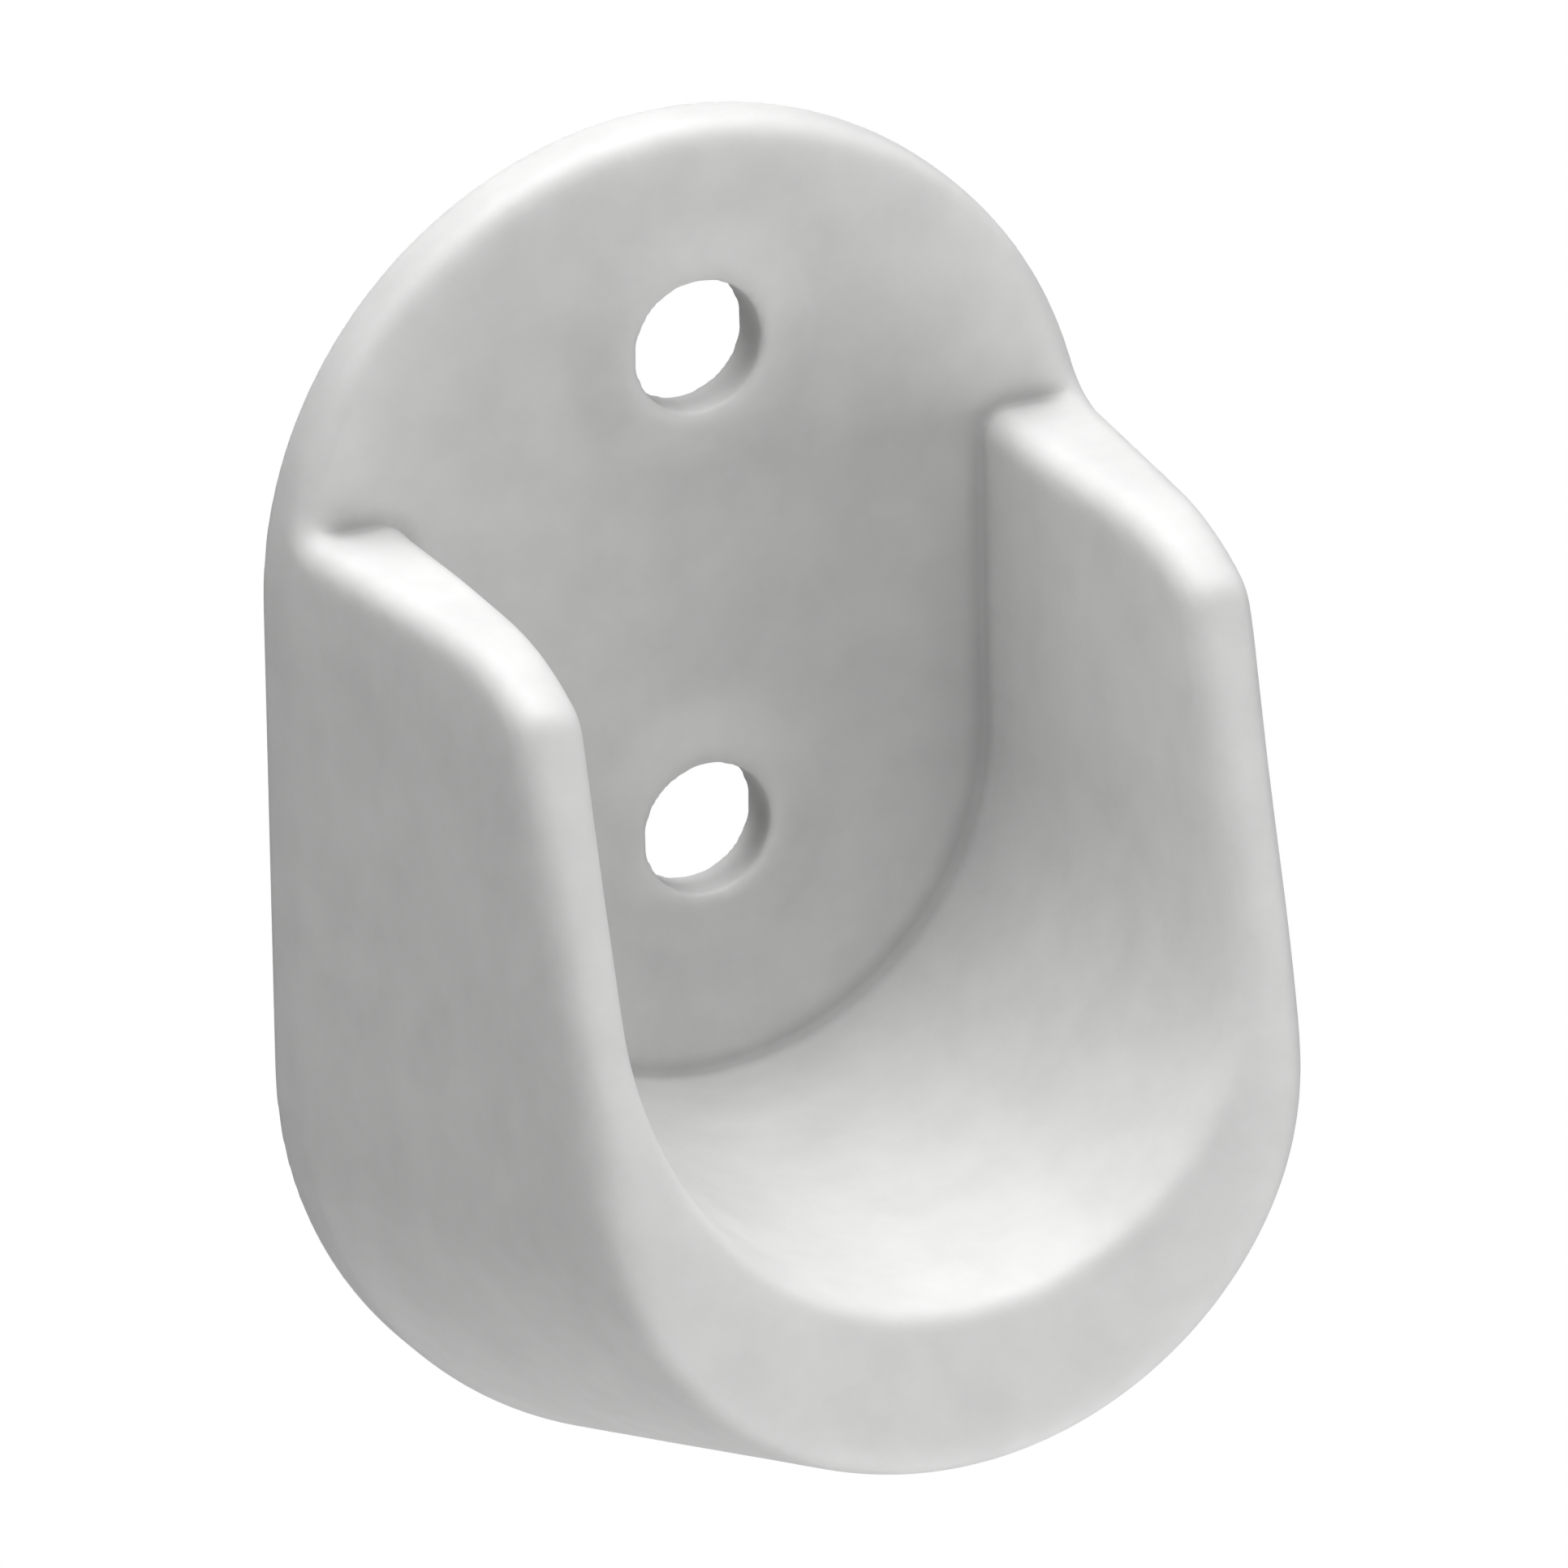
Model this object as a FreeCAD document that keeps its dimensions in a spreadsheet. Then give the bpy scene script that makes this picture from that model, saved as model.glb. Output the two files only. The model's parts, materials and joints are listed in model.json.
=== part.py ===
"""Open-topped end bracket for a wardrobe rail: one moulding with a back plate and a U-shaped saddle.

Frame: +X to the right, +Y into the wall, +Z up, millimetres. The wall plane is Y = 0, the saddle stands
out towards -Y, and the origin is the middle of the two screw holes on the wall plane.
"""
import FreeCAD, Part
import math
import os
import Sketcher

SIZES = [
    # the back plate, a stadium outline
    ("plate_radius", 17.9, "half the plate's width, and the radius of its two ends"),
    ("plate_top_centre", 1.65, "top end's centre above the origin"),
    ("plate_low_centre", 18.7, "bottom end's centre below the origin"),
    ("plate_depth", 3.2, "wall plane to the plate's front face"),
    ("recess_depth", 1.55, "relief in the back of the plate"),
    # the two screw holes and the raised rings round them
    ("screw_spacing", 20.8, "hole to hole"),
    ("screw_hole_radius", 2.8, "clearance for a 5 mm screw"),
    ("ring_base_radius", 5.6, "raised ring, where it leaves the plate"),
    ("ring_top_radius", 3.5, "raised ring, at its crest"),
    ("ring_height", 0.75, "crest above the plate's face"),
    # the slot that holds the rail
    ("slot_radius", 12.75, "25 mm rail with 0.25 mm all round"),
    ("slot_centre_drop", 8.35, "rail centre below the origin"),
    # the slot's lead-in, which opens towards the front
    ("lead_start", 9.0, "wall plane to where the slot starts to open"),
    ("lead_radius", 13.45, "slot radius at the front plane"),
    ("lead_centre_drop", 9.1, "its centre below the origin there"),
    # the block that the slot is cut into
    ("arm_top", 5.1, "level top of the arms, above the origin"),
    ("arm_level", 13.9, "wall plane to where the arms' top starts to curve down"),
    ("brow_radius", 15.0, "that curve"),
    ("saddle_depth", 27.5, "wall plane to the front of the saddle"),
    ("front_radius", 15.6, "outside of the saddle at the front plane"),
    ("front_centre_drop", 13.9, "its centre below the origin"),
    ("front_lean", 18.0, "degrees that the front of the arms leans back"),
    ("front_at_origin", 22.1, "wall plane to that leaning face at the origin's height"),
    ("corner_round", 1.5, "between the arms' top and their leaning front"),
    ("toe_round", 32.0, "between the leaning front and the upright lip"),
    ("outer_edge_round", 1.2, "rounding of the outer rim and of the plate's front edge"),
    ("wall_edge_round", 0.5, "rounding of the plate's edge at the wall"),
    ("inner_edge_round", 1.2, "rounding of the rim round the slot"),
    ("root_round", 0.85, "inside corner where the slot and the arms meet the plate"),
    # the hollow moulded in from the back, under the saddle floor
    ("wall", 1.9, "thickness left round the relief and the hollow"),
    ("core_depth", 25.0, "wall plane to the bottom of the hollow"),
    ("core_tip_drop", 17.5, "top of the hollow's two tips, below the origin"),
    ("rib_width", 1.6, "upright rib across the middle of the hollow"),
    ("overrun", 2.0, "how far a cutting sketch runs past the solid"),
]

UP = FreeCAD.Vector(0, 0, 1)
START, END, CENTRE = 1, 2, 3
ORIGIN = (-1, START)
ACROSS_AXIS, UP_AXIS = -1, -2
SHARP_TURN = 15
NEAR = 0.01


def make_sheet(doc):
    sheet = doc.addObject("Spreadsheet::Sheet", "Sizes")
    for row, (alias, value, meaning) in enumerate(SIZES, start=1):
        sheet.set(f"A{row}", alias)
        sheet.set(f"B{row}", str(value))
        sheet.set(f"C{row}", meaning)
        sheet.setAlias(f"B{row}", alias)
    doc.recompute()
    return sheet


def origin_plane(body, role):
    return next(item for item in body.Origin.OriginFeatures if item.Role == role)


def new_sketch(body, name, role, offset=None):
    """A sketch on one of the body's origin planes, moved along its normal by an expression."""
    sketch = body.newObject("Sketcher::SketchObject", name)
    sketch.AttachmentSupport = [(origin_plane(body, role), "")]
    sketch.MapMode = "FlatFace"
    if offset:
        sketch.setExpression("AttachmentOffset.Base.z", offset)
    return sketch


def constrain(sketch, *parts, size=None):
    """Adds one constraint, and binds its value to an expression if one is given."""
    index = sketch.addConstraint(Sketcher.Constraint(*parts))
    if size:
        sketch.setExpression(f"Constraints[{index}]", size)


def above_origin(sketch, part, height, size):
    constrain(sketch, "DistanceY", *ORIGIN, *part, height, size=size)


def below_origin(sketch, part, drop, size):
    constrain(sketch, "DistanceY", *part, *ORIGIN, drop, size=size)


def behind_origin(sketch, part, distance, size):
    constrain(sketch, "DistanceX", *part, *ORIGIN, distance, size=size)


def point(across, up):
    return FreeCAD.Vector(across, up, 0)


def arc(sketch, centre_height, radius, start, end):
    circle = Part.Circle(point(0, centre_height), UP, radius)
    return sketch.addGeometry(Part.ArcOfCircle(circle, start, end))


def line(sketch, first, second):
    return sketch.addGeometry(Part.LineSegment(point(*first), point(*second)))


def stadium(sketch, radius, top, low, names):
    """Two half circles joined by upright sides; names are the expressions for radius, top and low."""
    upper = arc(sketch, top, radius, 0, math.pi)
    left = line(sketch, (-radius, top), (-radius, -low))
    lower = arc(sketch, -low, radius, math.pi, 2 * math.pi)
    right = line(sketch, (radius, -low), (radius, top))
    chain = [upper, left, lower, right]
    for this, following in zip(chain, chain[1:] + chain[:1]):
        constrain(sketch, "Tangent", this, END, following, START)
    for half in (upper, lower):
        constrain(sketch, "PointOnObject", half, CENTRE, UP_AXIS)
    constrain(sketch, "Radius", upper, radius, size=names[0])
    constrain(sketch, "Equal", upper, lower)
    above_origin(sketch, (upper, CENTRE), top, names[1])
    below_origin(sketch, (lower, CENTRE), low, names[2])


def half_crescent(sketch, outer, inner, tip, side, names):
    """The right half of the space between two arcs, each (radius, drop), from the rib's side to the tip."""
    ends = []
    for radius, drop in (outer, inner):
        at_rib = 2 * math.pi - math.acos(side / radius)
        at_tip = 2 * math.pi + math.asin((drop - tip) / radius)
        ends.append((at_rib, at_tip))
    outer_arc = arc(sketch, -outer[1], outer[0], *ends[0])
    inner_arc = arc(sketch, -inner[1], inner[0], *ends[1])
    corners = [[(radius * math.cos(turn), radius * math.sin(turn) - drop) for turn in pair]
               for (radius, drop), pair in zip((outer, inner), ends)]
    rib_side = line(sketch, corners[0][0], corners[1][0])
    tip_line = line(sketch, corners[0][1], corners[1][1])
    for straight, end in ((rib_side, START), (tip_line, END)):
        constrain(sketch, "Coincident", outer_arc, end, straight, START)
        constrain(sketch, "Coincident", inner_arc, end, straight, END)
    constrain(sketch, "Vertical", rib_side)
    constrain(sketch, "Horizontal", tip_line)
    constrain(sketch, "DistanceX", *ORIGIN, rib_side, START, side, size="Sizes.rib_width / 2")
    below_origin(sketch, (tip_line, START), tip, "Sizes.core_tip_drop")
    for curve, (radius, drop), size, place in ((outer_arc, outer, *names[0:2]), (inner_arc, inner, *names[2:4])):
        constrain(sketch, "PointOnObject", curve, CENTRE, UP_AXIS)
        constrain(sketch, "Radius", curve, radius, size=size)
        below_origin(sketch, (curve, CENTRE), drop, place)


def middle_of(edge):
    return edge.valueAt((edge.FirstParameter + edge.LastParameter) / 2)


def is_sharp(shape, edge):
    """Whether the two faces on an edge meet at a corner, and not smoothly."""
    faces = shape.ancestorsOfType(edge, Part.Face)
    normals = [face.normalAt(*face.Surface.parameter(middle_of(edge))) for face in faces]
    return len(normals) == 2 and math.degrees(normals[0].getAngle(normals[1])) > SHARP_TURN


def round_edges(doc, body, name, base, test, size):
    """Rounds the sharp edges whose middle passes the test."""
    doc.recompute()
    shape = base.Shape
    edges = [f"Edge{number}" for number, edge in enumerate(shape.Edges, start=1)
             if test(middle_of(edge)) and is_sharp(shape, edge)]
    feature = body.newObject("PartDesign::Fillet", name)
    feature.Base = (base, edges)
    feature.setExpression("Radius", f"Sizes.{size}")
    doc.recompute()
    print(name, len(edges), "edges")
    return feature


def cut(body, name, sketch, length=None, outward=False, both=False):
    """A pocket: to a depth by expression, or through everything; outward cuts towards -Y."""
    pocket = body.newObject("PartDesign::Pocket", name)
    pocket.Profile = sketch
    pocket.Reversed = outward
    if both:
        pocket.SideType = "Symmetric"
    if length:
        pocket.setExpression("Length", length)
    else:
        pocket.Type = "ThroughAll"
    return pocket


def make_block(body, size):
    """The plate, and a block that narrows from its outline to the front of the saddle."""
    wall = new_sketch(body, "WallOutline", "XZ_Plane")
    names = ["Sizes.plate_radius", "Sizes.plate_top_centre", "Sizes.plate_low_centre"]
    stadium(wall, size.plate_radius, size.plate_top_centre, size.plate_low_centre, names)
    plate = body.newObject("PartDesign::Pad", "Plate")
    plate.Profile = wall
    plate.setExpression("Length", "Sizes.plate_depth")
    root = new_sketch(body, "SaddleRoot", "XZ_Plane", "Sizes.plate_depth")
    stadium(root, size.plate_radius, size.plate_top_centre, size.plate_low_centre, names)
    front = new_sketch(body, "SaddleFront", "XZ_Plane", "Sizes.saddle_depth")
    names = ["Sizes.front_radius", "Sizes.plate_top_centre", "Sizes.front_centre_drop"]
    stadium(front, size.front_radius, size.plate_top_centre, size.front_centre_drop, names)
    block = body.newObject("PartDesign::AdditiveLoft", "Block")
    block.Profile = root
    block.Sections = [front]
    block.Ruled = True


def trim_block(doc, body, size):
    """Leaves the plate standing above the arms, and cuts the arms to their side profile."""
    sketch = new_sketch(body, "SideProfile", "YZ_Plane")
    face = -size.plate_depth
    out = -size.saddle_depth - size.overrun
    high = size.plate_top_centre + size.plate_radius + size.overrun
    lean = math.radians(size.front_lean)
    brow_up = size.arm_top - size.brow_radius
    reach = size.front_at_origin - size.arm_level - brow_up * math.tan(lean)
    turn = math.asin(reach * math.cos(lean) / size.brow_radius) - lean
    corner = (-size.arm_level - size.brow_radius * math.sin(turn), brow_up + size.brow_radius * math.cos(turn))
    toe = (out, (out + size.front_at_origin) / math.tan(lean))
    top = line(sketch, (face, size.arm_top), (-size.arm_level, size.arm_top))
    circle = Part.Circle(point(-size.arm_level, brow_up), UP, size.brow_radius)
    brow = sketch.addGeometry(Part.ArcOfCircle(circle, math.pi / 2, math.pi / 2 + turn))
    front = line(sketch, corner, toe)
    outside = line(sketch, toe, (out, high))
    above = line(sketch, (out, high), (face, high))
    behind = line(sketch, (face, high), (face, size.arm_top))
    constrain(sketch, "Tangent", top, END, brow, START)
    for this, following in ((brow, front), (front, outside), (outside, above), (above, behind), (behind, top)):
        constrain(sketch, "Coincident", this, END, following, START)
    constrain(sketch, "Horizontal", top)
    constrain(sketch, "Vertical", outside)
    constrain(sketch, "Horizontal", above)
    constrain(sketch, "Vertical", behind)
    constrain(sketch, "Radius", brow, size.brow_radius, size="Sizes.brow_radius")
    constrain(sketch, "Angle", front, -math.pi / 2 - lean, size="-(90 + Sizes.front_lean) * 1 deg")
    above_origin(sketch, (top, START), size.arm_top, "Sizes.arm_top")
    above_origin(sketch, (above, START), high, "Sizes.plate_top_centre + Sizes.plate_radius + Sizes.overrun")
    behind_origin(sketch, (top, START), -face, "Sizes.plate_depth")
    behind_origin(sketch, (top, END), size.arm_level, "Sizes.arm_level")
    behind_origin(sketch, (outside, START), -out, "Sizes.saddle_depth + Sizes.overrun")
    crossing = sketch.addGeometry(Part.Point(point(-size.front_at_origin, 0)), True)
    constrain(sketch, "PointOnObject", crossing, START, ACROSS_AXIS)
    constrain(sketch, "PointOnObject", crossing, START, front)
    behind_origin(sketch, (crossing, START), size.front_at_origin, "Sizes.front_at_origin")
    trim = cut(body, "SideTrim", sketch, both=True)
    lip = (-size.saddle_depth, (size.front_at_origin - size.saddle_depth) / math.tan(lean))
    rounded = round_edges(doc, body, "ToeRound", trim,
                          lambda place: math.dist((place.y, place.z), lip) < NEAR, "toe_round")
    return round_edges(doc, body, "CornerRound", rounded,
                       lambda place: math.dist((place.y, place.z), corner) < NEAR, "corner_round")


def slot_outline(sketch, radius, drop, high, names):
    """A half circle at the bottom and upright sides; names are the expressions for radius and drop."""
    lower = arc(sketch, -drop, radius, math.pi, 2 * math.pi)
    right = line(sketch, (radius, -drop), (radius, high))
    top = line(sketch, (radius, high), (-radius, high))
    left = line(sketch, (-radius, high), (-radius, -drop))
    constrain(sketch, "Tangent", lower, END, right, START)
    constrain(sketch, "Coincident", right, END, top, START)
    constrain(sketch, "Coincident", top, END, left, START)
    constrain(sketch, "Tangent", left, END, lower, START)
    constrain(sketch, "Horizontal", top)
    constrain(sketch, "Vertical", right)
    constrain(sketch, "Vertical", left)
    constrain(sketch, "PointOnObject", lower, CENTRE, UP_AXIS)
    constrain(sketch, "Radius", lower, radius, size=names[0])
    below_origin(sketch, (lower, CENTRE), drop, names[1])
    above_origin(sketch, (top, START), high, "Sizes.arm_top + Sizes.overrun")


def cut_rail_slot(body, size):
    """The U-shaped seat for the rail, cut back to the plate's face, and its lead-in at the front."""
    high = size.arm_top + size.overrun
    seat = new_sketch(body, "RailSlotOutline", "XZ_Plane", "Sizes.plate_depth")
    names = ["Sizes.slot_radius", "Sizes.slot_centre_drop"]
    slot_outline(seat, size.slot_radius, size.slot_centre_drop, high, names)
    cut(body, "RailSlot", seat, outward=True)
    root = new_sketch(body, "LeadInRoot", "XZ_Plane", "Sizes.lead_start")
    slot_outline(root, size.slot_radius, size.slot_centre_drop, high, names)
    front = new_sketch(body, "LeadInFront", "XZ_Plane", "Sizes.saddle_depth")
    names = ["Sizes.lead_radius", "Sizes.lead_centre_drop"]
    slot_outline(front, size.lead_radius, size.lead_centre_drop, high, names)
    lead = body.newObject("PartDesign::SubtractiveLoft", "LeadIn")
    lead.Profile = root
    lead.Sections = [front]
    lead.Ruled = True
    return lead


def round_rims(doc, body, slot, size):
    """Softens the rim round the slot, its inside corner, the outer rim with the plate's edge, and the wall edge."""
    face = -size.plate_depth

    def on_slot_wall(place):
        below = min(place.z + size.slot_centre_drop, 0)
        inside = math.hypot(place.x, below) < (size.lead_radius + size.front_radius) / 2
        return inside and place.z < size.arm_top + NEAR

    def outer_rim(place):
        in_front = place.y < face - NEAR
        plate_edge = abs(place.y - face) < NEAR and place.z > size.arm_top + size.overrun
        return (in_front or plate_edge) and not on_slot_wall(place)

    def slot_rim(place):
        return place.y < face - NEAR and on_slot_wall(place)

    def slot_root(place):
        return abs(place.y - face) < NEAR and on_slot_wall(place)

    def wall_edge(place):
        return abs(place.y) < NEAR

    rounded = round_edges(doc, body, "SlotRim", slot, slot_rim, "inner_edge_round")
    rounded = round_edges(doc, body, "SlotRoot", rounded, slot_root, "root_round")
    rounded = round_edges(doc, body, "OuterRim", rounded, outer_rim, "outer_edge_round")
    return round_edges(doc, body, "WallEdge", rounded, wall_edge, "wall_edge_round")


def make_screw_rings(body, size):
    for name, side in (("UpperRing", 1), ("LowerRing", -1)):
        ring = body.newObject("PartDesign::AdditiveCone", name)
        ring.AttachmentSupport = [(origin_plane(body, "XZ_Plane"), "")]
        ring.MapMode = "FlatFace"
        ring.setExpression("AttachmentOffset.Base.y", f"{side} * Sizes.screw_spacing / 2")
        ring.setExpression("AttachmentOffset.Base.z", "Sizes.plate_depth")
        ring.setExpression("Radius1", "Sizes.ring_base_radius")
        ring.setExpression("Radius2", "Sizes.ring_top_radius")
        ring.setExpression("Height", "Sizes.ring_height")


def cut_screw_holes(body, size):
    sketch = new_sketch(body, "ScrewHoleCircles", "XZ_Plane")
    half = size.screw_spacing / 2
    for place, side in ((above_origin, 1), (below_origin, -1)):
        hole = sketch.addGeometry(Part.Circle(point(0, side * half), UP, size.screw_hole_radius))
        constrain(sketch, "PointOnObject", hole, CENTRE, UP_AXIS)
        constrain(sketch, "Radius", hole, size.screw_hole_radius, size="Sizes.screw_hole_radius")
        place(sketch, (hole, CENTRE), half, "Sizes.screw_spacing / 2")
    return cut(body, "ScrewHoles", sketch, outward=True)


def relieve_back(body, size):
    """A shallow relief in the wall side of the plate, so that it bears on its rim."""
    sketch = new_sketch(body, "BackRelief", "XZ_Plane")
    names = ["Sizes.plate_radius - Sizes.wall", "Sizes.plate_top_centre", "Sizes.plate_low_centre"]
    stadium(sketch, size.plate_radius - size.wall, size.plate_top_centre, size.plate_low_centre, names)
    return cut(body, "Relief", sketch, length="Sizes.recess_depth", outward=True)


def core_saddle(doc, body, size):
    """The hollow under the saddle floor, sunk from the relief, in two halves with a rib between them."""
    inner = (size.slot_radius + size.wall, size.slot_centre_drop)
    rib_side = size.rib_width / 2
    root = new_sketch(body, "CoreRoot", "XZ_Plane", "Sizes.recess_depth")
    outer = (size.plate_radius - size.wall, size.plate_low_centre)
    names = ["Sizes.plate_radius - Sizes.wall", "Sizes.plate_low_centre",
             "Sizes.slot_radius + Sizes.wall", "Sizes.slot_centre_drop"]
    half_crescent(root, outer, inner, size.core_tip_drop, rib_side, names)
    end = new_sketch(body, "CoreEnd", "XZ_Plane", "Sizes.core_depth")
    outer = (size.front_radius - size.wall, size.front_centre_drop)
    inner = (size.lead_radius + size.wall, size.lead_centre_drop)
    names = ["Sizes.front_radius - Sizes.wall", "Sizes.front_centre_drop",
             "Sizes.lead_radius + Sizes.wall", "Sizes.lead_centre_drop"]
    half_crescent(end, outer, inner, size.core_tip_drop, rib_side, names)
    core = body.newObject("PartDesign::SubtractiveLoft", "Core")
    core.Profile = root
    core.Sections = [end]
    core.Ruled = True
    doc.recompute()
    pair = body.newObject("PartDesign::Mirrored", "CorePair")
    pair.Originals = [core]
    pair.MirrorPlane = (origin_plane(body, "YZ_Plane"), [""])
    body.Tip = pair
    return pair


def make_bracket(doc, size):
    body = doc.addObject("PartDesign::Body", "bracket_body")
    body.Label = "bracket_body"
    make_block(body, size)
    trim_block(doc, body, size)
    slot = cut_rail_slot(body, size)
    round_rims(doc, body, slot, size)
    make_screw_rings(body, size)
    cut_screw_holes(body, size)
    relieve_back(body, size)
    core_saddle(doc, body, size)
    return body


def check_and_write(doc, bodies):
    doc.recompute()
    for item in doc.Objects:
        if {"Invalid", "Error"} & set(item.State):
            raise RuntimeError(f"{item.Name} didn't recompute: {item.State}")
    for body in bodies:
        shape = body.Shape
        if shape.isNull() or not shape.isValid() or len(shape.Solids) != 1:
            raise RuntimeError(f"{body.Label} isn't one valid solid")
    os.makedirs("parts", exist_ok=True)
    for body in bodies:
        body.Shape.exportStep(f"parts/{body.Label}.step")
        box = body.Shape.BoundBox
        print(body.Label, "volume", round(body.Shape.Volume, 1), "box", [round(v, 2) for v in
              (box.XMin, box.XMax, box.YMin, box.YMax, box.ZMin, box.ZMax)])


def main():
    doc = FreeCAD.newDocument("RailBracket")
    size = make_sheet(doc)
    check_and_write(doc, [make_bracket(doc, size)])


main()
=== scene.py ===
"""Looks for the wardrobe rail bracket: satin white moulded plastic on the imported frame, pale studio."""

import json
import math

import bmesh
import bpy
import numpy as np
from mathutils import Matrix, Vector

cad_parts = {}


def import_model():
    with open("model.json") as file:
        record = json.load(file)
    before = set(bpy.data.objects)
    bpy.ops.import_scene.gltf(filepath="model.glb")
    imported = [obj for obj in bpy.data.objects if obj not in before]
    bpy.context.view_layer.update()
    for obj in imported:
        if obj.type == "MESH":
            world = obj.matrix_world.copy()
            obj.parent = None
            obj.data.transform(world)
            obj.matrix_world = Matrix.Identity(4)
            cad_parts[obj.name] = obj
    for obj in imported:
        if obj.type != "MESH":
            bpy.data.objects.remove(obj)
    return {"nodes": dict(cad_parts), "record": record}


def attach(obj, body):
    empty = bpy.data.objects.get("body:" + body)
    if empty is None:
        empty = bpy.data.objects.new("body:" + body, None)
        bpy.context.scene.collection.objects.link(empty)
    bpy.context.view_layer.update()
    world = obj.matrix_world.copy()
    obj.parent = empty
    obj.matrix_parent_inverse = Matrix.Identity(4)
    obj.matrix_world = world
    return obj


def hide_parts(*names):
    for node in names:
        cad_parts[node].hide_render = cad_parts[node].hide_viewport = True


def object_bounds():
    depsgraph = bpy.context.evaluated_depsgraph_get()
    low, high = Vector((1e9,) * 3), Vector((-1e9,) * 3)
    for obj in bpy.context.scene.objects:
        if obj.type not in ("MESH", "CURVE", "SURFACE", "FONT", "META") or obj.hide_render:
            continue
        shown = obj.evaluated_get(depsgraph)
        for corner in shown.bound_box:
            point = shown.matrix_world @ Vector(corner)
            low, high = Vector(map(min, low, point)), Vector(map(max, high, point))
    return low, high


MM = 0.001
WELD = MM / 10000
TINY = MM / 100

# the camera: degrees round the object, metres away, and a lens in millimetres
AZIMUTH = -25.393
ELEVATION = 22.076
ROLL = -1.053
DISTANCE = 1.1922
LENS = 685.74
SENSOR_WIDTH = 36.0
CLIP_START, CLIP_END = 0.01, 30.0
AIM_OFFSET = Vector((-0.000524, 0.00166, 0.003145))

# the studio, in metres
FLOOR_DROP = 0.62
FLOOR_HALF_WIDTH = 6.0
WORLD_SEEN, WORLD_LIGHT = 1.0, 0.03
LIGHT_SIZE = 0.6
LIGHT_DISTANCE = 0.7
# name, azimuth and elevation in degrees, watts
LIGHTS = [
    ("overhead", 180, 80, 8.0),
    ("front_fill", 0, 15, 1.5),
    ("left_fill", -75, 30, 1.0),
    ("low_right_fill", 45, -20, 3.0),
    ("under_fill", -45, -50, 2.5),
]

# the even mesh that carries the looks
VOXEL = 0.22 * MM
EVERYWHERE_STEPS = 2
# everything but the screw holes is eased again
BODY_STEPS = 6
# the screw holes' walls, and the raised rings round them
HOLE_REACH = 0.2 * MM
RING_HEIGHT = 0.75 * MM
RING_STEPS = 3
RING_INSIDE, RING_OUTSIDE, RING_FADE = 3.6 * MM, 6.4 * MM, 0.6 * MM
# the front of the saddle, from and to these shares of its depth, and less on the upper arms
FRONT_STEPS = 22
FRONT_STARTS, FRONT_FULL = 0.45, 0.75
ARM_CORNER, ARM_FADE, ARM_SHARE = 1.0 * MM, 5.0 * MM, 0.25
# the outer rim of the saddle's front
RIM_STEPS = 45
RIM_FADE = 1.0 * MM
# the inside corner at the plate, which fades out just before the arms' outer faces
CREASE_STEPS = 1
ROOT_REACH = 0.9 * MM
ROOT_SLACK = ROOT_REACH / 4
ROOT_ENDS, ROOT_FADE = 16.6 * MM, 1.2 * MM
ARM_EDGE = 1.2 * MM
# two smoothings of the surface, and the distance between them that counts as 1, for the cavity that places
# the painted shade and painted highlight
CAVITY_NEAR_STEPS, CAVITY_WIDE_STEPS = 3, 16
CAVITY_DEPTH = 0.13 * MM


def node_input(node, name, value):
    node.inputs[name].default_value = value


def new_material(name):
    material = bpy.data.materials.new(name)
    material.use_nodes = True
    nodes = material.node_tree.nodes
    nodes.clear()
    return material, nodes, material.node_tree.links


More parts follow.
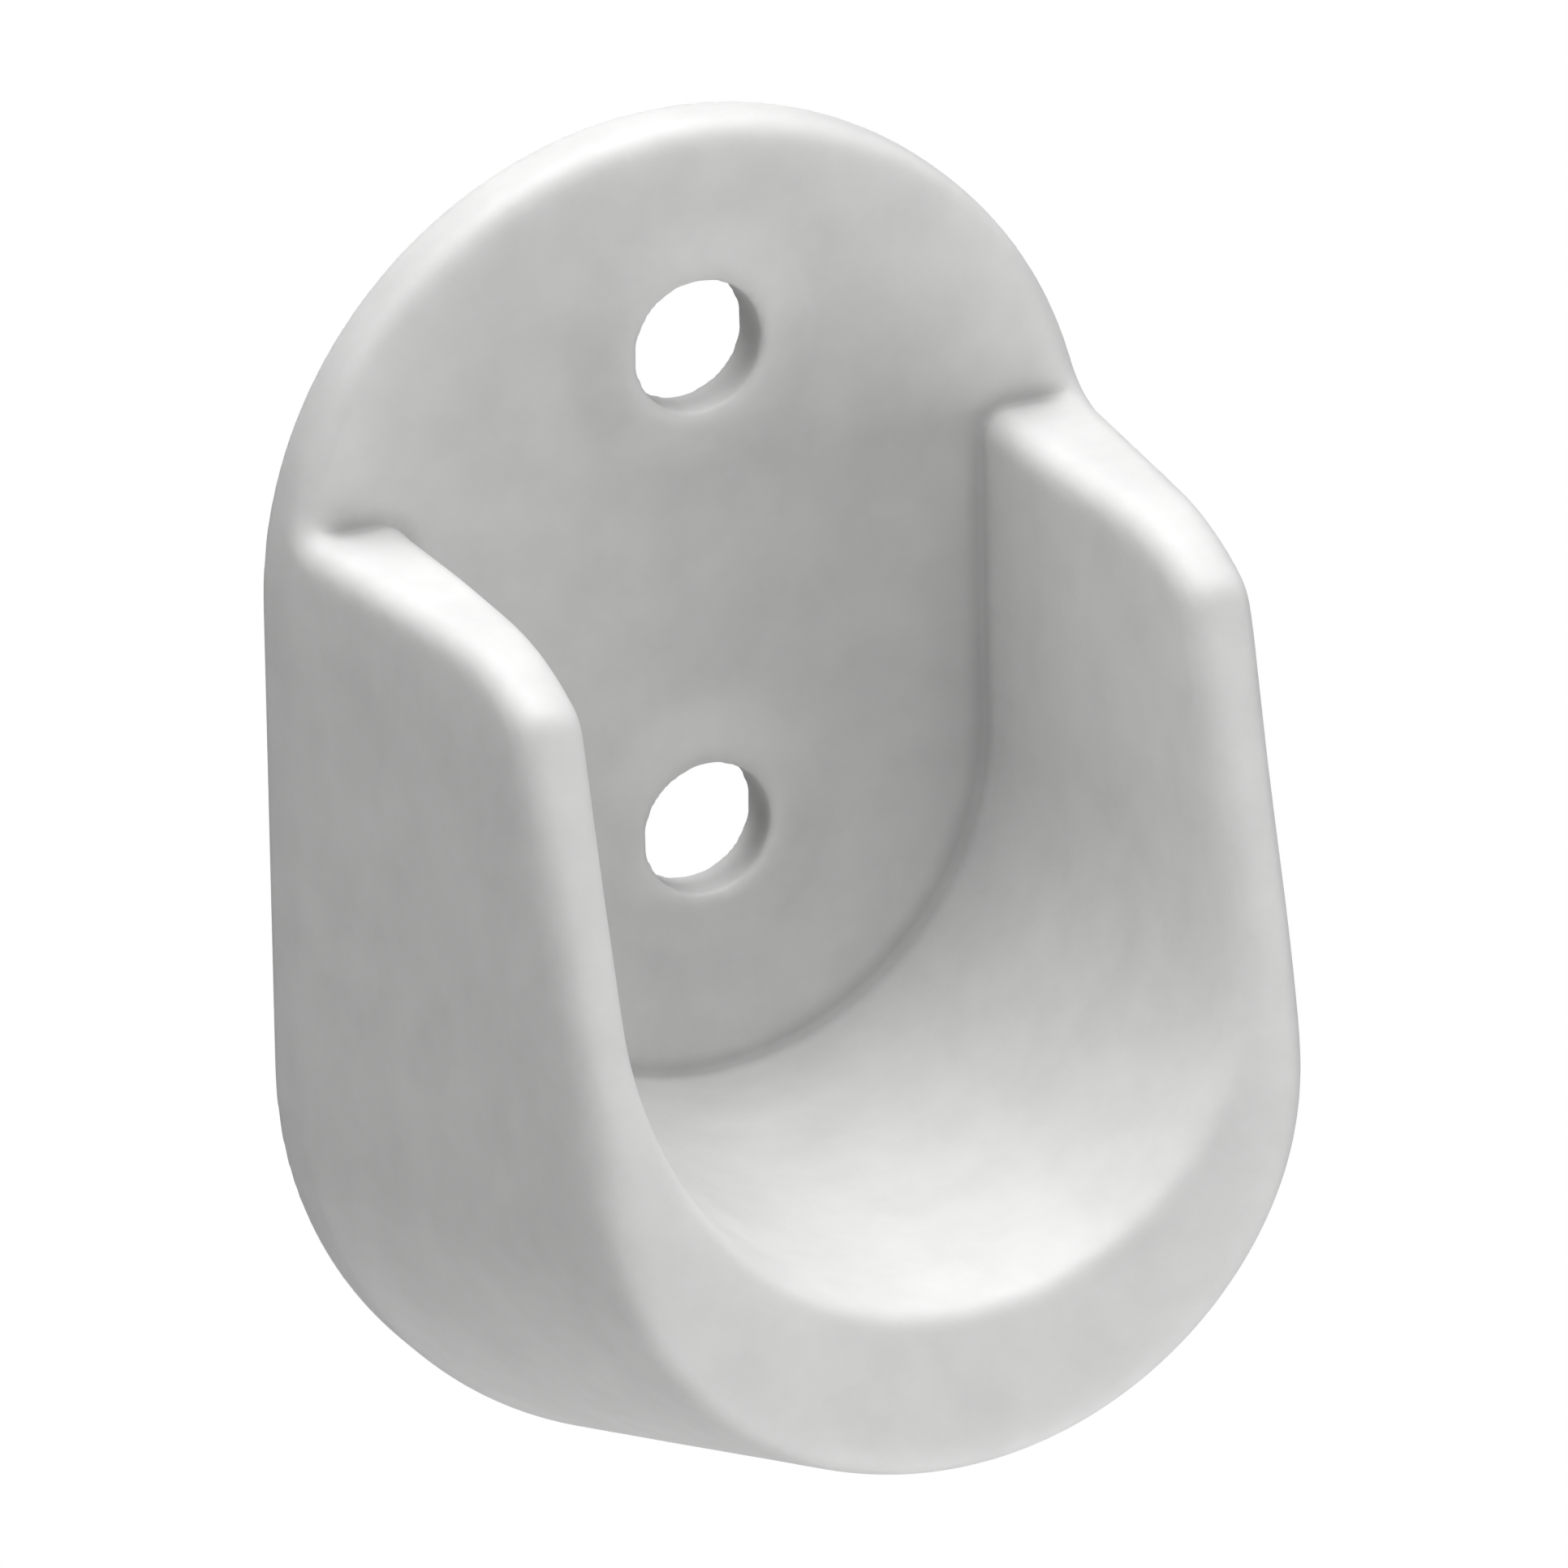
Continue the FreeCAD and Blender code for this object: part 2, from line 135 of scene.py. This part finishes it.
def moulded_plastic():
    """Satin white polypropylene: faint mottling, orange peel and uneven gloss, with painted shade darkening
    the inside corners and a faint painted highlight along the edges.
    """
    material, nodes, links = new_material("moulded_plastic")
    output = nodes.new("ShaderNodeOutputMaterial")
    shader = nodes.new("ShaderNodeBsdfPrincipled")
    links.new(shader.outputs["BSDF"], output.inputs["Surface"])
    node_input(shader, "IOR", 1.49)
    node_input(shader, "Specular IOR Level", 0.4)
    node_input(shader, "Subsurface Weight", 0.25)
    node_input(shader, "Subsurface Radius", (1.0, 0.97, 0.94))
    node_input(shader, "Subsurface Scale", 0.001)
    place = nodes.new("ShaderNodeTexCoord")

    mottle = nodes.new("ShaderNodeTexNoise")
    node_input(mottle, "Scale", 280.0)
    node_input(mottle, "Detail", 5.0)
    node_input(mottle, "Roughness", 0.6)
    links.new(place.outputs["Object"], mottle.inputs["Vector"])
    tone = nodes.new("ShaderNodeValToRGB")
    tone.color_ramp.elements[0].position = 0.3
    tone.color_ramp.elements[0].color = (0.6, 0.6, 0.598, 1)
    tone.color_ramp.elements[1].position = 0.7
    tone.color_ramp.elements[1].color = (0.66, 0.66, 0.657, 1)
    links.new(mottle.outputs["Fac"], tone.inputs["Fac"])

    # painted shade: the base colour is darkened in inside corners, and a faint painted highlight lightens it
    # along edges, both read from the cavity attribute
    cavity_for_painted_shade = nodes.new("ShaderNodeAttribute")
    cavity_for_painted_shade.attribute_name = "cavity"
    centred = nodes.new("ShaderNodeMapRange")
    node_input(centred, "From Min", -1.0)
    links.new(cavity_for_painted_shade.outputs["Fac"], centred.inputs["Value"])
    shade = nodes.new("ShaderNodeValToRGB")
    shade.color_ramp.elements[0].position = 0.2
    shade.color_ramp.elements[0].color = (1, 1, 1, 1)
    shade.color_ramp.elements[1].position = 0.95
    shade.color_ramp.elements[1].color = (0.8, 0.8, 0.8, 1)
    plain = shade.color_ramp.elements.new(0.55)
    plain.color = (0.98, 0.98, 0.98, 1)
    links.new(centred.outputs["Result"], shade.inputs["Fac"])
    shaded = nodes.new("ShaderNodeMix")
    shaded.data_type = "RGBA"
    shaded.blend_type = "MULTIPLY"
    node_input(shaded, "Factor", 1.0)
    links.new(tone.outputs["Color"], shaded.inputs["A"])
    links.new(shade.outputs["Color"], shaded.inputs["B"])
    links.new(shaded.outputs["Result"], shader.inputs["Base Color"])

    gloss = nodes.new("ShaderNodeTexNoise")
    node_input(gloss, "Scale", 700.0)
    node_input(gloss, "Detail", 3.0)
    links.new(place.outputs["Object"], gloss.inputs["Vector"])
    spread = nodes.new("ShaderNodeMapRange")
    node_input(spread, "To Min", 0.46)
    node_input(spread, "To Max", 0.6)
    links.new(gloss.outputs["Fac"], spread.inputs["Value"])
    links.new(spread.outputs["Result"], shader.inputs["Roughness"])

    peel = nodes.new("ShaderNodeTexNoise")
    node_input(peel, "Scale", 1800.0)
    node_input(peel, "Detail", 2.0)
    links.new(place.outputs["Object"], peel.inputs["Vector"])
    bump = nodes.new("ShaderNodeBump")
    node_input(bump, "Strength", 0.22)
    node_input(bump, "Distance", 0.03 * MM)
    links.new(peel.outputs["Fac"], bump.inputs["Height"])
    links.new(bump.outputs["Normal"], shader.inputs["Normal"])
    return material


def even_mesh(node):
    """The CAD solid's surface as even quads, fine enough to take soft edges."""
    mesh = node.data.copy()
    mesh.name = "bracket_moulding"
    edit = bmesh.new()
    edit.from_mesh(mesh)
    bmesh.ops.remove_doubles(edit, verts=edit.verts, dist=WELD)
    edit.to_mesh(mesh)
    edit.free()
    piece = bpy.data.objects.new("bracket_moulding", mesh)
    bpy.context.scene.collection.objects.link(piece)
    even = piece.modifiers.new("even", "REMESH")
    even.mode = "VOXEL"
    even.voxel_size = VOXEL
    shown = piece.evaluated_get(bpy.context.evaluated_depsgraph_get())
    finished = bpy.data.meshes.new_from_object(shown)
    piece.modifiers.clear()
    piece.data = finished
    return piece


def soften(points, edges, weight, steps):
    """Pulls each point halfway to the middle of its neighbours, as far as its weight allows."""
    ends = np.concatenate([edges[:, 0], edges[:, 1]])
    others = np.concatenate([edges[:, 1], edges[:, 0]])
    count = np.bincount(ends, minlength=len(points))[:, None]
    for _ in range(steps):
        total = np.stack([np.bincount(ends, points[others, axis], len(points)) for axis in range(3)], axis=1)
        points = points + 0.5 * weight[:, None] * (total / count - points)
    return points


def root_gap(points, seat, arm_top):
    """Distance from the slot's wall and the arms' tops, seen along the rail, and the way that it grows."""
    middle, radius = seat["pos_m"], seat["dims"]["r_mm"] * MM
    across, up = points[:, 0] - middle[0], points[:, 2] - middle[2]
    side = np.sign(across)
    inward = radius + ARM_EDGE - np.abs(across)
    above = points[:, 2] - (arm_top - ARM_EDGE)
    inward, above = np.maximum(inward, 0), np.maximum(above, 0)
    reach = np.maximum(np.hypot(inward, above), TINY)
    out = np.maximum(np.hypot(across, up), MM)
    below = up < 0
    gap = np.where(below, radius - out, reach - ARM_EDGE)
    grow_across = np.where(below, -across / out, -side * inward / reach)
    grow_up = np.where(below, -up / out, above / reach)
    return gap, grow_across, grow_up


def square_root_corner(points, seat, face):
    """Draws the inside corner that the slot and the arms' tops make with the plate back to a crease."""
    beside_plate = (points[:, 1] < 2 * face) & (points[:, 1] > 3 * face)
    arm_top = points[beside_plate, 2].max()
    gap, grow_across, grow_up = root_gap(points, seat, arm_top)
    rise = face - points[:, 1]
    left, over = ROOT_REACH - gap, ROOT_REACH - rise
    in_corner = (left > 0) & (over > 0) & (gap > -ROOT_SLACK) & (rise > -ROOT_SLACK)
    share = in_corner * np.clip((ROOT_ENDS - np.abs(points[:, 0])) / ROOT_FADE, 0, 1)
    most = np.maximum(np.maximum(left, over), TINY)
    gap_move = (ROOT_REACH - left * ROOT_REACH / most - gap) * share
    points[:, 0] += gap_move * grow_across
    points[:, 2] += gap_move * grow_up
    points[:, 1] -= (ROOT_REACH - over * ROOT_REACH / most - rise) * share
    return points, share


def from_hole_axis(points, holes):
    """Distance from the nearer screw hole's axis, and the height above it."""
    half = holes["dims"]["spacing_y_mm"] * MM / 2
    up = points[:, 2] - np.sign(points[:, 2]) * half
    return np.hypot(points[:, 0], up), up


def round_holes(points, holes):
    """Turns the screw holes' walls into true circles."""
    out, up = from_hole_axis(points, holes)
    radius = holes["dims"]["hole_r_mm"] * MM
    wall = np.abs(out - radius) < HOLE_REACH
    points[wall, 2] += up[wall] * (radius / out[wall] - 1)
    points[wall, 0] *= radius / out[wall]
    return points


def ring_weight(points, holes, face):
    """1 on the raised rings round the screw holes, fading to 0 beside them."""
    out, _ = from_hole_axis(points, holes)
    on_face = np.abs(points[:, 1] - face) < 2 * RING_HEIGHT
    inner = np.clip((out - RING_INSIDE) / RING_FADE + 1, 0, 1)
    outer = np.clip((RING_OUTSIDE - out) / RING_FADE + 1, 0, 1)
    return np.minimum(inner, outer) * on_face


def rim_weight(points, seat, half_width):
    """1 on the outside of the saddle and its rim, fading to 0 before the rim round the slot."""
    middle, radius = seat["pos_m"], seat["dims"]["r_mm"] * MM
    out = np.hypot(points[:, 0], np.minimum(points[:, 2] - middle[2], 0))
    return np.clip((out - (radius + half_width) / 2) / RIM_FADE, 0, 1)


def store_cavity_for_painted_shade(mesh, points, edges):
    """Notes how hollow the surface is at each point: above 0 in inside corners, and below 0 along edges. The
    material paints shade into the corners and a faint highlight onto the edges from it.
    """
    everywhere = np.ones(len(points))
    near = soften(points, edges, everywhere, CAVITY_NEAR_STEPS)
    wide = soften(near, edges, everywhere, CAVITY_WIDE_STEPS)
    normals = np.empty(len(points) * 3, np.float32)
    mesh.vertex_normals.foreach_get("vector", normals)
    depth = ((wide - near) * normals.reshape(-1, 3)).sum(axis=1) / CAVITY_DEPTH
    attribute = mesh.attributes.new("cavity", "FLOAT", "POINT")
    attribute.data.foreach_set("value", depth.astype(np.float32))


def soft_moulding(node, mounts, material):
    """The bracket with every edge eased the way a moulding comes out of its tool, most at the front."""
    piece = even_mesh(node)
    mesh = piece.data
    points = np.empty(len(mesh.vertices) * 3, np.float32)
    mesh.vertices.foreach_get("co", points)
    points = points.reshape(-1, 3).astype(float)
    edges = np.empty(len(mesh.edges) * 2, np.int32)
    mesh.edges.foreach_get("vertices", edges)
    edges = edges.reshape(-1, 2)
    holes = mounts["screw_holes"]
    everywhere = np.ones(len(points))
    points = soften(points, edges, everywhere, EVERYWHERE_STEPS)
    points = round_holes(points, holes)
    points = soften(points, edges, everywhere, EVERYWHERE_STEPS)
    out, _ = from_hole_axis(points, holes)
    body = np.clip((out - RING_INSIDE) / RING_FADE + 1, 0, 1)
    points = soften(points, edges, body, BODY_STEPS)
    depth = -points[:, 1].min()
    front = np.clip((-points[:, 1] / depth - FRONT_STARTS) / (FRONT_FULL - FRONT_STARTS), 0, 1)
    front *= 1 - (1 - ARM_SHARE) * np.clip((points[:, 2] - ARM_CORNER) / ARM_FADE + 1, 0, 1)
    points = soften(points, edges, front, FRONT_STEPS)
    rim = rim_weight(points, mounts["rail_seat"], points[:, 0].max())
    points = soften(points, edges, front * rim, RIM_STEPS)
    face = holes["pos_m"][1] + RING_HEIGHT
    points = soften(points, edges, ring_weight(points, holes, face), RING_STEPS)
    points, corner = square_root_corner(points, mounts["rail_seat"], face)
    points = soften(points, edges, corner, CREASE_STEPS)
    mesh.vertices.foreach_set("co", points.astype(np.float32).ravel())
    mesh.update()
    # the cavity sets the painted shade in inside corners and the painted highlight along edges
    store_cavity_for_painted_shade(mesh, points, edges)
    mesh.materials.clear()
    mesh.materials.append(material)
    mesh.shade_smooth()
    return piece


def direction(azimuth, elevation):
    """Unit vector towards a place round the object; azimuth 0 is in front, and 90 to the right."""
    turn, lift = math.radians(azimuth), math.radians(elevation)
    return Vector((math.sin(turn) * math.cos(lift), -math.cos(turn) * math.cos(lift), math.sin(lift)))


def area_light(name, place, target, power):
    data = bpy.data.lights.new(name, "AREA")
    data.shape = "SQUARE"
    data.size = LIGHT_SIZE
    data.energy = power
    lamp = bpy.data.objects.new(name, data)
    lamp.visible_camera = False
    lamp.location = place
    lamp.rotation_mode = "QUATERNION"
    lamp.rotation_quaternion = (target - place).to_track_quat("-Z", "Y")
    bpy.context.scene.collection.objects.link(lamp)


def make_lights(middle):
    for name, azimuth, elevation, power in LIGHTS:
        place = middle + direction(azimuth, elevation) * LIGHT_DISTANCE
        area_light(name, place, middle, power)


def make_floor(middle, level):
    """A pale floor that the camera sees as plain white and that throws light back on the bracket."""
    material, nodes, links = new_material("studio_floor")
    output = nodes.new("ShaderNodeOutputMaterial")
    shader = nodes.new("ShaderNodeBsdfPrincipled")
    node_input(shader, "Base Color", (0.9, 0.9, 0.9, 1))
    node_input(shader, "Roughness", 0.9)
    node_input(shader, "Specular IOR Level", 0.1)
    pale = nodes.new("ShaderNodeEmission")
    path = nodes.new("ShaderNodeLightPath")
    mix = nodes.new("ShaderNodeMixShader")
    links.new(path.outputs["Is Camera Ray"], mix.inputs["Fac"])
    links.new(shader.outputs["BSDF"], mix.inputs[1])
    links.new(pale.outputs["Emission"], mix.inputs[2])
    links.new(mix.outputs["Shader"], output.inputs["Surface"])
    half = FLOOR_HALF_WIDTH
    mesh = bpy.data.meshes.new("studio_floor")
    corners = [(-half, -half), (half, -half), (half, half), (-half, half)]
    mesh.from_pydata([(middle.x + x, middle.y + y, level) for x, y in corners], [], [(0, 1, 2, 3)])
    mesh.materials.append(material)
    floor = bpy.data.objects.new("studio_floor", mesh)
    bpy.context.scene.collection.objects.link(floor)


def make_world():
    """Plain white where the camera sees it, and a weak even light on the bracket."""
    world = bpy.data.worlds.new("studio")
    world.use_nodes = True
    nodes, links = world.node_tree.nodes, world.node_tree.links
    nodes.clear()
    output = nodes.new("ShaderNodeOutputWorld")
    seen = nodes.new("ShaderNodeBackground")
    node_input(seen, "Color", (1, 1, 1, 1))
    node_input(seen, "Strength", WORLD_SEEN)
    lit = nodes.new("ShaderNodeBackground")
    node_input(lit, "Color", (1, 1, 1, 1))
    node_input(lit, "Strength", WORLD_LIGHT)
    path = nodes.new("ShaderNodeLightPath")
    mix = nodes.new("ShaderNodeMixShader")
    links.new(path.outputs["Is Camera Ray"], mix.inputs["Fac"])
    links.new(lit.outputs["Background"], mix.inputs[1])
    links.new(seen.outputs["Background"], mix.inputs[2])
    links.new(mix.outputs["Shader"], output.inputs["Surface"])
    bpy.context.scene.world = world


def make_camera(aim):
    data = bpy.data.cameras.new("camera")
    data.lens = LENS
    data.sensor_width = SENSOR_WIDTH
    data.clip_start, data.clip_end = CLIP_START, CLIP_END
    back = direction(AZIMUTH, ELEVATION)
    camera = bpy.data.objects.new("camera", data)
    camera.location = aim + back * DISTANCE
    camera.rotation_mode = "QUATERNION"
    level = (-back).to_track_quat("-Z", "Y").to_matrix()
    camera.rotation_quaternion = (level @ Matrix.Rotation(math.radians(ROLL), 3, "Z")).to_quaternion()
    bpy.context.scene.collection.objects.link(camera)
    bpy.context.scene.camera = camera


def main():
    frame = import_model()
    cad_low, cad_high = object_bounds()
    middle = (cad_low + cad_high) / 2
    mounts = {mount["name"]: mount for mount in frame["record"]["mounts"]}
    piece = soft_moulding(frame["nodes"]["bracket_body"], mounts, moulded_plastic())
    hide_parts("bracket_body")
    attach(piece, "root")
    make_floor(middle, cad_low.z - FLOOR_DROP)
    make_world()
    make_lights(middle)
    make_camera(middle + AIM_OFFSET)
    bpy.context.scene.view_settings.view_transform = "Standard"


main()
